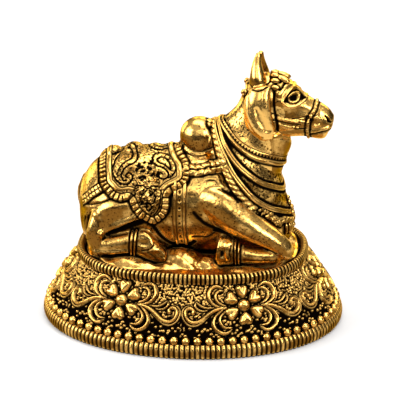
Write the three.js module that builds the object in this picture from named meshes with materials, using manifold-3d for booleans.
// A seated Nandi, the humped bull of Hindu temples, as a small cast table figure on an oval plinth.
// It is two castings. The plinth is a flared foot with a rim, a course of beads, a band of flowers and
// scrolls and a ring round its deck. The bull wears a saddle cloth, girth, breast band, collars, halter
// and anklets, and is cast with the thin ground that it lies on.
// Millimetres. +X is the way the bull faces, +Z is up, and the origin is the centre of the underside.
import * as THREE from "three";
import { mergeVertices } from "three/addons/utils/BufferGeometryUtils.js";
import Module from "manifold-3d";

// Driving dimensions
const figureHeight = 51.4; // from the ground that the bull lies on to the tips of its horns
const groundThickness = 0.7;
const plinthHeight = 17.1; // from the underside to the deck
const deckMargin = 0.5; // free deck between the bull's ground and the ring
const footSpreadAtEnds = 9.7; // how far the foot stands out past the middle of the ring, front and rear
const footSpreadAtSides = 8.7; // the same at the flanks
const footSquareness = 2.04; // of the foot's oval: 2 is an ellipse, and more fills the corners
const deckSquareness = 2.36; // of the ring's oval
const rimHeight = 4.2; // of the rim round the foot
const rimRounding = 1.1; // of the rim's upper edge
const footChamfer = 0.5; // under the rim
const beadRadius = 0.85; // of the bead course on the rim
const ringHeight = 2.7; // of the ring round the deck
const ringThickness = 1.9; // of the ring, measured across it
const ringRise = 1.7; // how far the ring stands above the deck
const bandSwell = 0.35; // how far the ornament band bulges out between beads and ring
const reliefHeight = 0.8; // how far flowers and scrolls stand out of the band
const flowerCount = 6;
const clothThickness = 0.5;
const hemHeight = 0.5; // how far the fringe round the cloth's edge stands above the cloth
const strapThickness = 0.6; // of the girth and the breast band
const collarHeight = 0.75; // of the three collars
const chainHeight = 0.9; // of the chain under the lowest collar
const halterHeight = 0.5; // of the nose band
const ankletRadius = 0.6;

// The bull is drawn 51.4 mm tall above its ground, and figureHeight sets its size.
const drawnHeight = 51.4;
const size = figureHeight / drawnHeight;
const groundHalfLength = 26.2 * size;
const groundHalfWidth = 19.9 * size;

const goldColour = 0xc8963c;
const goldRoughness = 0.3;
const wasm = await Module();
wasm.setup();

// Solids and meshes

// A closed geometry as a solid that can be cut and joined.
function solid(geometry) {
  const plain = geometry.clone();
  plain.deleteAttribute("normal");
  plain.deleteAttribute("uv");
  const merged = mergeVertices(plain, 1e-4);
  const vertProperties = merged.attributes.position.array;
  const triVerts = new Uint32Array(merged.index.array);
  return new wasm.Manifold(new wasm.Mesh({ numProp: 3, vertProperties, triVerts }));
}

function geometryOf(manifold) {
  const mesh = manifold.getMesh();
  const geometry = new THREE.BufferGeometry();
  geometry.setAttribute("position", new THREE.BufferAttribute(mesh.vertProperties, 3));
  geometry.setIndex(new THREE.BufferAttribute(mesh.triVerts, 1));
  geometry.computeVertexNormals();
  return geometry;
}

const joined = (geometries) => wasm.Manifold.union(geometries.map(solid));

// A geometry from points and triangles, turned so that its faces point out.
function surface(points, faces) {
  let volume = 0;
  for (let i = 0; i < faces.length; i += 3) {
    const [a, b, c] = faces.slice(i, i + 3).map((corner) => points[corner]);
    volume += a.dot(new THREE.Vector3().crossVectors(b, c));
  }
  const geometry = new THREE.BufferGeometry().setFromPoints(points);
  geometry.setIndex(volume < 0 ? faces.reverse() : faces);
  return geometry;
}

// The triangles between two rows of equally many points.
function strip(low, high, count, closed) {
  const faces = [];
  for (let i = 0; i < (closed ? count : count - 1); i++) {
    const next = (i + 1) % count;
    faces.push(low + i, low + next, high + next, low + i, high + next, high + i);
  }
  return faces;
}

// Rings of equally many points, skinned into a closed form with a pole at each end.
function skin(rings, firstPole, lastPole) {
  const sides = rings[0].length;
  const points = [...rings.flat(), firstPole, lastPole];
  const firstIndex = rings.length * sides;
  const end = firstIndex - sides;
  const faces = [];
  for (let row = 0; row < end; row += sides) faces.push(...strip(row, row + sides, sides, true));
  for (let i = 0; i < sides; i++) {
    const next = (i + 1) % sides;
    faces.push(firstIndex, next, i, firstIndex + 1, end + i, end + next);
  }
  return surface(points, faces);
}

const centreOf = (ring) =>
  ring.reduce((sum, point) => sum.add(point), new THREE.Vector3()).divideScalar(ring.length);

// A closed band of rings, the last joined to the first.
function loop(rings) {
  const sides = rings[0].length;
  const count = rings.length * sides;
  const faces = rings.flatMap((_, row) => strip(row * sides, ((row + 1) * sides) % count, sides, true));
  return surface(rings.flat(), faces);
}

// Two sheets of points of the same rows and columns, closed along their edges into a shell.
function shell(outer, inner) {
  const columns = outer[0].length;
  const points = [...outer.flat(), ...inner.flat()];
  const innerStart = outer.length * columns;
  const faces = [];
  for (let row = 0; row + 1 < outer.length; row++) {
    const low = row * columns;
    faces.push(...strip(low, low + columns, columns, false));
    faces.push(...strip(innerStart + low, innerStart + low + columns, columns, false).reverse());
  }
  const edge = [
    ...outer[0].map((_, column) => column),
    ...outer.slice(1).map((_, row) => (row + 2) * columns - 1),
    ...outer[0].slice(1).map((_, column) => innerStart - 2 - column),
    ...outer.slice(2).map((_, row) => innerStart - (row + 2) * columns),
  ];
  edge.forEach((corner, i) => {
    const next = edge[(i + 1) % edge.length];
    faces.push(next, corner, corner + innerStart, next, corner + innerStart, next + innerStart);
  });
  return surface(points, faces);
}

// A ridge that closes on itself round a body. Its foot is sunk below the points, which lie on the skin,
// and there it stands about as wide as it is high.
const ridgeSection = [[-2, -1.5], [0, 1], [2, -1.5]];
function ridge(points, height) {
  const centre = centreOf(points);
  const count = points.length;
  const rings = points.map((point, i) => {
    const along = points[(i + 1) % count].clone().sub(points[(i + count - 1) % count]).normalize();
    const out = point.clone().sub(centre);
    out.addScaledVector(along, -out.dot(along)).normalize();
    const across = new THREE.Vector3().crossVectors(along, out);
    return ridgeSection.map(([side, up]) =>
      point.clone().addScaledVector(across, side * height).addScaledVector(out, up * height),
    );
  });
  return loop(rings);
}

// The plinth

const deck = plinthHeight;
const ringOval = {
  halfLength: groundHalfLength + deckMargin + ringThickness / 2,
  halfWidth: groundHalfWidth + deckMargin + ringThickness / 2,
  z: deck + ringRise - ringHeight / 2,
};
const ovalSides = 36;

// A point of the plinth's surface. Angle 0 faces -Y, and spread is 0 at the middle of the ring and 1 at
// the widest of the foot. Outward is a distance past that.
function onOval(angle, spread, z, outward = 0) {
  const power = 2 / THREE.MathUtils.lerp(deckSquareness, footSquareness, spread);
  const rounded = (value) => Math.sign(value) * Math.abs(value) ** power;
  const halfLength = ringOval.halfLength + spread * footSpreadAtEnds + outward;
  const halfWidth = ringOval.halfWidth + spread * footSpreadAtSides + outward;
  return new THREE.Vector3(halfLength * rounded(Math.sin(angle)), -halfWidth * rounded(Math.cos(angle)), z);
}

// The ornament band rises from the beads to the ring. Rise is 0 below and 1 above.
const band = {
  lowZ: rimHeight + beadRadius,
  highZ: ringOval.z - 0.4 * ringHeight,
  lowSpread: 1 - (rimRounding + beadRadius) / footSpreadAtEnds,
};
function onBand(angle, rise, lift) {
  const spread = band.lowSpread * (1 - rise);
  const lean = Math.atan2(band.lowSpread * footSpreadAtEnds, band.highZ - band.lowZ);
  const swell = 4 * bandSwell * rise * (1 - rise);
  const z = THREE.MathUtils.lerp(band.lowZ, band.highZ, rise);
  return onOval(angle, spread, z + lift * Math.sin(lean), swell + lift * Math.cos(lean));
}

function plinthBody() {
  const angles = Array.from({ length: ovalSides }, (_, i) => (2 * Math.PI * i) / ovalSides);
  const around = (place) => angles.map(place);
  const fullUpTo = rimHeight - 1.5 * rimRounding;
  const rim = [[-footChamfer, 0], [0, 2 * footChamfer], [0, fullUpTo], [-rimRounding, rimHeight]];
  const ringTurns = [-35, 35, 100, 180];
  const rings = [
    ...rim.map(([outward, z]) => around((angle) => onOval(angle, 1, z, outward))),
    around((angle) => onOval(angle, 1, rimHeight + beadRadius, -rimRounding)),
    around((angle) => onBand(angle, 0, 0)),
    around((angle) => onBand(angle, 0.5, 0)),
    around((angle) => onBand(angle, 0.97, 0)),
    ...ringTurns.map((degrees) => {
      const turn = THREE.MathUtils.degToRad(degrees);
      const z = ringOval.z + (ringHeight / 2) * Math.sin(turn);
      return around((angle) => onOval(angle, 0, z, (ringThickness / 2) * Math.cos(turn)));
    }),
    around((angle) => onOval(angle, 0, deck, -ringThickness / 2)),
  ];
  return skin(rings, new THREE.Vector3(0, 0, 0), new THREE.Vector3(0, 0, deck));
}

// The way round the middle of the band, taken in small steps so that flowers stand equally far apart.
const measuredSteps = 720;
const wayRound = [0];
for (let i = 1; i <= measuredSteps; i++) {
  const [a, b] = [i - 1, i].map((step) => onBand((2 * Math.PI * step) / measuredSteps, 0.5, 0));
  wayRound.push(wayRound[i - 1] + a.distanceTo(b));
}
const flowerPitch = wayRound[measuredSteps] / flowerCount;
function angleAt(distance) {
  const wanted = THREE.MathUtils.euclideanModulo(distance, wayRound[measuredSteps]);
  const next = wayRound.findIndex((length) => length > wanted);
  const share = (wanted - wayRound[next - 1]) / (wayRound[next] - wayRound[next - 1]);
  return (2 * Math.PI * (next - 1 + share)) / measuredSteps;
}

// The motif is drawn on a field with the flower's middle at 0, 0. One field is repeated for each flower,
// as long as the space between two flowers and as high as the band.
const field = { length: 32, height: 14.4, middle: 7.4 };
const petalCount = 6;
const petalDistance = 3.2;
const petalRadius = 1.75;
const petalSides = 4;
const budRadius = 1.8;
const budSides = 6;
const crescent = [[3.6, 0.2], [5.7, 1.4], [6.4, 3.6], [5.2, 5.6], [2.9, 5.7]];
const tendril = [
  [3.6, 0], [6.6, -0.8], [9.2, -2.7], [11.8, -3.5], [14.2, -2.5], [14.8, -0.2], [13.3, 1], [12, 0],
];

function onField(flower, x, y, lift) {
  const angle = angleAt((flower + 0.5 + x / field.length) * flowerPitch);
  return onBand(angle, (field.middle + y) / field.height, lift * reliefHeight);
}

// A pointed boss, with its first corner turned that way.
function boss(flower, x, y, radius, sides, firstTurn) {
  const foot = Array.from({ length: sides }, (_, i) => {
    const turn = firstTurn + (2 * Math.PI * i) / sides;
    return onField(flower, x + radius * Math.cos(turn), y + radius * Math.sin(turn), -0.4);
  });
  return skin([foot], centreOf(foot), onField(flower, x, y, 1.5));
}

// A scroll is a ridge that is thin where it leaves the flower and full at its curl.
function scroll(flower, outline, halfWidth, steps) {
  const curve = new THREE.SplineCurve(outline.map(([x, y]) => new THREE.Vector2(x, y)));
  const rings = Array.from({ length: steps + 1 }, (_, i) => {
    const share = i / steps;
    const { x, y } = curve.getPoint(share);
    const along = curve.getTangent(share);
    const half = halfWidth * (0.5 + 0.5 * share);
    const corner = (across, lift) => onField(flower, x - along.y * across, y + along.x * across, lift);
    return [corner(half, -0.5), corner(0, 1), corner(-half, -0.5)];
  });
  return skin(rings, centreOf(rings[0]), centreOf(rings.at(-1)));
}

function flowerAndScrolls(flower) {
  const petals = Array.from({ length: petalCount }, (_, i) => {
    const turn = (2 * Math.PI * (i + 0.5)) / petalCount;
    const [x, y] = [petalDistance * Math.cos(turn), petalDistance * Math.sin(turn)];
    return boss(flower, x, y, petalRadius, petalSides, turn);
  });
  const mirrored = (outline, sideways, upright) => outline.map(([x, y]) => [x * sideways, y * upright]);
  const scrolls = [-1, 1].flatMap((side) => [
    scroll(flower, mirrored(crescent, side, 1), 0.95, 3),
    scroll(flower, mirrored(crescent, side, -1), 0.95, 3),
    scroll(flower, mirrored(tendril, side, 1), 1, 6),
  ]);
  return [boss(flower, 0, 0, budRadius, budSides, 0), ...petals, ...scrolls];
}

function plinth() {
  const ornaments = Array.from({ length: flowerCount }, (_, flower) => flowerAndScrolls(flower));
  return joined([plinthBody(), ...ornaments.flat()]);
}

// The bull

// A place on the bull: x forward, y to its left, z above its ground, in drawn millimetres.
const at = (x, y, z) => new THREE.Vector3(x * size, y * size, deck + groundThickness + z * size);

// A form as it is seen from the side. Each row is one ring: x and z of its upper and of its lower end,
// then the y of its middle and its half width. Both ends of the form are domed.
function form(rows, sides, domes, mirror = 1) {
  const ringOf = ([x1, z1, x2, z2, y, wide], shrink, out) =>
    Array.from({ length: sides }, (_, i) => {
      const turn = (2 * Math.PI * (i + 0.5)) / sides;
      const share = (shrink * Math.sin(turn)) / 2;
      const [x, z] = [(x1 + x2) / 2 + (x1 - x2) * share, (z1 + z2) / 2 + (z1 - z2) * share];
      return at(x + out.x, mirror * (y + shrink * wide * Math.cos(turn)), z + out.y);
    });
  const outward = ([x1, z1, x2, z2], [nx1, nz1, nx2, nz2], dome) => {
    const out = new THREE.Vector2(z2 - z1, x1 - x2).setLength(dome);
    const away = new THREE.Vector2(x1 + x2 - nx1 - nx2, z1 + z2 - nz1 - nz2);
    return out.dot(away) < 0 ? out.negate() : out;
  };
  const [first, last] = [rows[0], rows.at(-1)];
  const outs = [outward(first, rows[1], domes[0]), outward(last, rows.at(-2), domes[1])];
  const none = new THREE.Vector2();
  const shoulder = THREE.MathUtils.degToRad(48);
  const domed = (row, out) => ringOf(row, Math.cos(shoulder), out.clone().multiplyScalar(Math.sin(shoulder)));
  const rings = [domed(first, outs[0]), ...rows.map((row) => ringOf(row, 1, none)), domed(last, outs[1])];
  return skin(rings, centreOf(ringOf(first, 1, outs[0])), centreOf(ringOf(last, 1, outs[1])));
}

const trunk = [
  [-26.9, 17.6, -26.3, 1.8, 0, 7.0],
  [-24.9, 20.6, -24.6, 0.0, 0, 9.8],
  [-21.5, 23.0, -21.5, -0.3, 0, 11.5],
  [-15.0, 24.6, -15.0, -0.3, 0, 12.4],
  [-6.0, 25.2, -6.0, -0.3, 0, 12.5],
  [4.0, 26.0, 4.0, -0.3, 0, 12.2],
  [11.0, 26.0, 11.0, -0.3, 0, 11.5],
  [17.0, 22.5, 17.0, -0.3, 0, 10.0],
  [21.5, 17.5, 21.5, 0.0, 0, 8.0],
  [23.6, 12.0, 23.6, 2.0, 0, 5.2],
];
const neck = [
  [2.0, 20.0, 23.6, 4.0, 0, 11.0],
  [3.2, 28.0, 23.6, 9.5, 0, 11.2],
  [5.0, 32.6, 23.0, 14.5, 0, 9.9],
  [6.4, 33.6, 21.9, 20.3, 0, 7.8],
  [8.2, 34.5, 23.1, 24.4, 0, 6.3],
  [10.8, 37.2, 24.2, 28.2, 0, 5.3],
  [12.4, 41.0, 22.0, 32.5, 0, 4.6],
];
const head = [
  [13.2, 43.4, 16.2, 32.0, 0, 4.4],
  [17.2, 45.3, 19.0, 29.9, 0, 5.2],
  [21.4, 45.2, 22.2, 29.6, 0, 5.4],
  [25.2, 43.3, 24.9, 29.8, 0, 4.9],
  [28.5, 40.2, 27.4, 29.9, 0, 3.9],
  [31.2, 38.5, 30.2, 29.4, 0, 3.3],
  [33.2, 37.0, 32.2, 29.6, 0, 3.1],
  [34.2, 35.6, 33.4, 31.6, 0, 2.2],
];
const hump = [
  [-3.6, 23.0, 7.0, 23.0, 0, 5.3],
  [-2.9, 27.0, 6.2, 27.4, 0, 4.5],
  [-2.8, 29.4, 6.2, 29.7, 0, 4.5],
];
const horn = [
  [13.9, 43.2, 18.4, 43.0, -2.7, 2.2],
  [14.3, 46.4, 17.9, 46.3, -2.6, 1.8],
  [14.9, 49.2, 17.2, 49.1, -1.8, 1.25],
  [15.3, 50.8, 16.7, 50.7, -1.1, 0.75],
];
const ear = [
  [14.4, 42.4, 19.0, 43.4, -5.0, 1.1],
  [13.2, 39.4, 19.4, 41.0, -6.0, 1.3],
  [13.4, 36.0, 19.7, 37.6, -6.5, 1.4],
  [14.4, 33.2, 20.3, 34.6, -6.8, 1.3],
  [17.6, 31.0, 20.6, 32.0, -6.8, 1.0],
];
const foreleg = [
  [1.0, 18.2, 1.6, 14.0, -9.0, 2.4],
  [4.6, 20.0, 4.4, 11.2, -10.2, 3.8],
  [9.8, 19.0, 8.4, 8.9, -11.0, 4.3],
  [14.4, 15.4, 12.6, 7.4, -11.6, 4.1],
  [18.6, 12.1, 16.8, 6.0, -11.9, 3.7],
  [22.4, 9.2, 20.6, 4.6, -12.0, 3.2],
  [25.2, 6.4, 22.6, 2.6, -11.8, 2.7],
  [26.0, 4.4, 23.8, 1.9, -11.6, 2.1],
];
const foreShin = [
  [21.6, 4.6, 21.6, 1.3, -11.8, 2.0],
  [17.8, 4.6, 17.8, 0.8, -12.2, 1.9],
  [13.2, 5.5, 13.2, 0.5, -12.3, 2.0],
  [10.0, 7.4, 10.4, -0.2, -12.3, 2.4],
  [8.0, 7.2, 7.6, -0.3, -12.3, 2.4],
];
const thigh = [
  [-8.2, 13.4, -8.6, 11.6, -10.8, 1.6],
  [-11.0, 15.5, -11.6, 10.6, -10.4, 2.8],
  [-15.5, 17.0, -16.2, 8.0, -9.6, 4.0],
  [-19.5, 16.5, -20.3, 6.0, -9.2, 4.3],
  [-22.6, 14.5, -23.2, 4.5, -8.4, 4.0],
  [-25.0, 11.5, -25.0, 4.5, -7.0, 2.8],
];
const shank = [
  [-23.0, 14.0, -19.5, 13.5, -10.2, 2.4],
  [-24.2, 9.0, -20.4, 9.0, -11.0, 2.6],
  [-24.4, 5.6, -20.2, 5.6, -11.4, 2.6],
  [-23.2, 2.0, -20.6, 1.0, -11.5, 2.2],
];
const hindShin = [
  [-22.0, 5.6, -22.0, 1.5, -11.6, 2.2],
  [-18.4, 6.3, -18.4, 1.5, -12.0, 2.1],
  [-13.6, 7.6, -13.8, 2.0, -12.2, 2.1],
  [-10.2, 8.2, -11.2, 1.2, -12.2, 2.5],
  [-8.0, 6.4, -8.8, 0.0, -12.3, 2.5],
  [-5.2, 2.9, -5.6, -0.3, -12.4, 2.1],
];
const tail = [
  [-27.4, 17.5, -25.6, 16.5, 0.4, 0.9],
  [-28.4, 12.5, -26.6, 12.0, 1.2, 0.9],
  [-28.0, 7.5, -26.2, 7.0, 3.4, 1.0],
  [-26.4, 3.6, -24.8, 2.8, 6.4, 1.3],
  [-24.2, 2.4, -23.0, 1.0, 9.0, 1.0],
];

// Both of a pair: the bull's right one, which is drawn, and its left one, set back by that much.
function pair(rows, sides, domes, back = 0) {
  const left = rows.map(([x1, z1, x2, ...rest]) => [x1 - back, z1, x2 - back, ...rest]);
  return [form(rows, sides, domes), form(left, sides, domes, -1)];
}
const leftForelegBack = 1.4;

function ground() {
  const edge = (z) =>
    Array.from({ length: ovalSides }, (_, i) => {
      const { x, y } = onOval((2 * Math.PI * i) / ovalSides, 0, 0, -ringThickness / 2 - deckMargin);
      return new THREE.Vector3(x, y, deck + z);
    });
  const centre = (z) => new THREE.Vector3(0, 0, deck + z);
  return skin([edge(0), edge(groundThickness)], centre(0), centre(groundThickness));
}

// The body that the harness is laid on.
function bodyCore() {
  return joined([
    form(trunk, 16, [1.2, 0.8]),
    form(neck, 16, [1, 0.5]),
    form(head, 12, [1.2, 0.5]),
  ]);
}

function limbsAndGround() {
  return joined([
    ground(),
    form(hump, 12, [1, 4.1]),
    ...pair(horn, 7, [0.6, 0.7]),
    ...pair(ear, 6, [0.7, 0.8]),
    ...pair(foreleg, 10, [1, 0.6], leftForelegBack),
    ...pair(foreShin, 7, [0.5, 0.6], leftForelegBack),
    ...pair(thigh, 10, [0.9, 0.9]),
    ...pair(shank, 7, [0.8, 0.8]),
    ...pair(hindShin, 7, [0.8, 0.6]),
    form(tail, 5, [0.6, 0.6]),
  ]);
}

// The point of the skin that lies outward from a place inside. It is looked for from the reach inwards.
const finder = new THREE.Raycaster();
const flankReach = 16;
function onSkin(body, inside, outward, reach) {
  const direction = outward.clone().normalize();
  finder.set(inside.clone().addScaledVector(direction, reach * size), direction.clone().negate());
  const [hit] = finder.intersectObject(body);
  return hit ? hit.point : inside;
}

// A line round the neck, as x and z from the side: from a point of the nape to one of the throat, and
// sagging by that much between them at the neck's sides.
const collars = [
  { nape: [6.8, 34.3], throat: [23.5, 23.2], sag: 1.3, height: collarHeight, reach: 15 },
  { nape: [6.2, 33.8], throat: [22.5, 16.2], sag: 1.5, height: collarHeight, reach: 16 },
  { nape: [5.6, 33.3], throat: [24.3, 10.0], sag: 2.1, height: collarHeight, reach: 17 },
  { nape: [5.0, 32.8], throat: [24.8, 7.5], sag: 2.6, height: chainHeight, reach: 18 },
];
const noseBand = { nape: [30.6, 38.9], throat: [28.9, 29.6], sag: 0, height: halterHeight, reach: 7 };

function collar(body, { nape, throat, sag, height, reach }, count) {
  const [back, front] = [at(nape[0], 0, nape[1]), at(throat[0], 0, throat[1])];
  const middle = centreOf([back, front]);
  const toNape = back.clone().sub(middle).normalize();
  const down = new THREE.Vector3(-Math.abs(toNape.z), 0, -Math.abs(toNape.x));
  const points = Array.from({ length: count }, (_, i) => {
    const turn = (2 * Math.PI * i) / count;
    const outward = toNape.clone().multiplyScalar(Math.cos(turn));
    outward.y = Math.sin(turn);
    const inside = middle.clone().addScaledVector(down, sag * size * Math.sin(turn) ** 2);
    return onSkin(body, inside, outward, reach);
  });
  return ridge(points, height);
}

// A flat strap on the bull's right (-1) or left (1), along x, z and width in drawn millimetres.
function strap(body, line, side) {
  const points = line.map(([x, z]) => onSkin(body, at(x, 0, z), new THREE.Vector3(0, side, 0), flankReach));
  const rings = points.map((point, i) => {
    const along = points[Math.min(i + 1, points.length - 1)].clone().sub(points[Math.max(i - 1, 0)]);
    const across = new THREE.Vector3().crossVectors(along, new THREE.Vector3(0, side, 0)).normalize();
    const out = new THREE.Vector3().crossVectors(across, along).normalize();
    const half = (line[i][2] / 2) * size;
    const section = [[-half, -2], [-half, 1], [half, 1], [half, -2]];
    return section.map(([sideways, up]) =>
      point.clone().addScaledVector(across, sideways).addScaledVector(out, up * strapThickness),
    );
  });
  return skin(rings, centreOf(rings[0]), centreOf(rings.at(-1)));
}
const girth = [[-1.9, 20, 3.1], [-1.9, 16, 3.1], [-1.9, 12, 3.1], [-1.8, 8, 3.1], [-1.6, 5, 1.8]];
const breastBand = [[-0.5, 22.2, 3.0], [3.6, 22.6, 2.7], [6.8, 23.7, 2.6], [9.1, 24.6, 2.2]];

// The saddle cloth lies over the back. Each row is a place along the hem, x, and how high the hem hangs
// there, in degrees round the trunk from level with its middle: a rear lobe, a long tongue in the
// middle of the flank, and a front lobe. Over the spine the cloth is shorter than at its hem.
const hem = [
  [-21.7, 28], [-19.7, 19], [-16.2, 12.6], [-14.3, 14.5], [-12.3, 0], [-9.5, -9], [-7.4, -10], [-5.2, 0],
  [-4.2, 18], [-2.4, 25], [-0.2, 31], [0.6, 40],
];
const overSpine = { rear: -22.8, front: -3.5 };
const levelColumns = [46, 62, 78]; // columns that run level over the back, in degrees

function trunkAt(x) {
  const next = Math.max(1, trunk.findIndex((row) => row[0] > x));
  const [a, b] = [trunk[next - 1], trunk[next]];
  const share = (x - a[0]) / (b[0] - a[0]);
  return a.map((value, i) => THREE.MathUtils.lerp(value, b[i], share));
}

function clothSheet(lift) {
  const [rear, front] = [hem[0][0], hem.at(-1)[0]];
  return hem.map(([hemX, degrees]) => {
    const spineX = THREE.MathUtils.mapLinear(hemX, rear, front, overSpine.rear, overSpine.front);
    const right = [degrees, (degrees + levelColumns[0]) / 2, ...levelColumns];
    const left = right.map((round) => 180 - round).reverse();
    return [...right, ...left].map((round) => {
      const turn = THREE.MathUtils.degToRad(round);
      const share = 1 - Math.abs(round - 90) / (90 - degrees);
      const x = THREE.MathUtils.lerp(hemX, spineX, share ** 1.25);
      const [, top, , bottom, , wide] = trunkAt(x);
      const half = (top - bottom) / 2;
      const out = new THREE.Vector3(0, -Math.cos(turn), Math.sin(turn)).multiplyScalar(lift);
      return at(x, -wide * Math.cos(turn), bottom + half + half * Math.sin(turn)).add(out);
    });
  });
}

function saddleCloth() {
  const outer = clothSheet(clothThickness);
  const raised = clothSheet(clothThickness + hemHeight);
  const inner = clothSheet(-2 * clothThickness);
  const onEdge = (i, list) => i === 0 || i === list.length - 1;
  const face = outer.map((row, i) =>
    row.map((point, k) => (onEdge(i, outer) || onEdge(k, row) ? raised[i][k] : point)),
  );
  return shell(face, inner);
}

// Eyes, the ornament on the brow, and anklets
function details() {
  const stud = (long, wide, height) => {
    const geometry = new THREE.CylinderGeometry(0.55, 1, height * size, 8);
    return geometry.scale(long * size, 1, wide * size);
  };
  const eye = (side) => {
    const turned = stud(2.5, 1.5, 1.4).rotateX(side < 0 ? Math.PI : 0);
    return turned.translate(...at(25, side * 4.6, 40.4));
  };
  const browStud = stud(2.6, 2.6, 2.4).rotateX(Math.PI / 2).translate(...at(20.4, 0, 45.3));
  const anklet = (x, y, z, radius) => {
    const torus = new THREE.TorusGeometry(radius * size, ankletRadius, 3, 6).rotateY(Math.PI / 2);
    return torus.translate(...at(x, y, z));
  };
  const sides = [-1, 1].flatMap((side) => [
    eye(side),
    anklet(side < 0 ? 12.6 : 12.6 - leftForelegBack, side * 12.3, 3.3, 2.7),
    anklet(-13.2, side * 12.2, 4.9, 2.8),
  ]);
  return [...sides, browStud];
}

function bull() {
  const core = bodyCore();
  const body = new THREE.Mesh(geometryOf(core));
  const harness = [
    ...collars.map((line) => collar(body, line, 15)),
    collar(body, noseBand, 8),
    saddleCloth(),
    ...[-1, 1].flatMap((side) => [strap(body, girth, side), strap(body, breastBand, side)]),
    ...details(),
  ];
  return wasm.Manifold.union([core, limbsAndGround(), joined(harness)]);
}

const figure = new THREE.Group();
const gold = { color: goldColour, roughness: goldRoughness, metalness: 1 };
for (const [name, manifold] of [["plinth", plinth()], ["bull", bull()]]) {
  const material = new THREE.MeshStandardMaterial(gold);
  const mesh = new THREE.Mesh(geometryOf(manifold), material);
  mesh.name = name;
  figure.add(mesh);
}

export default figure;
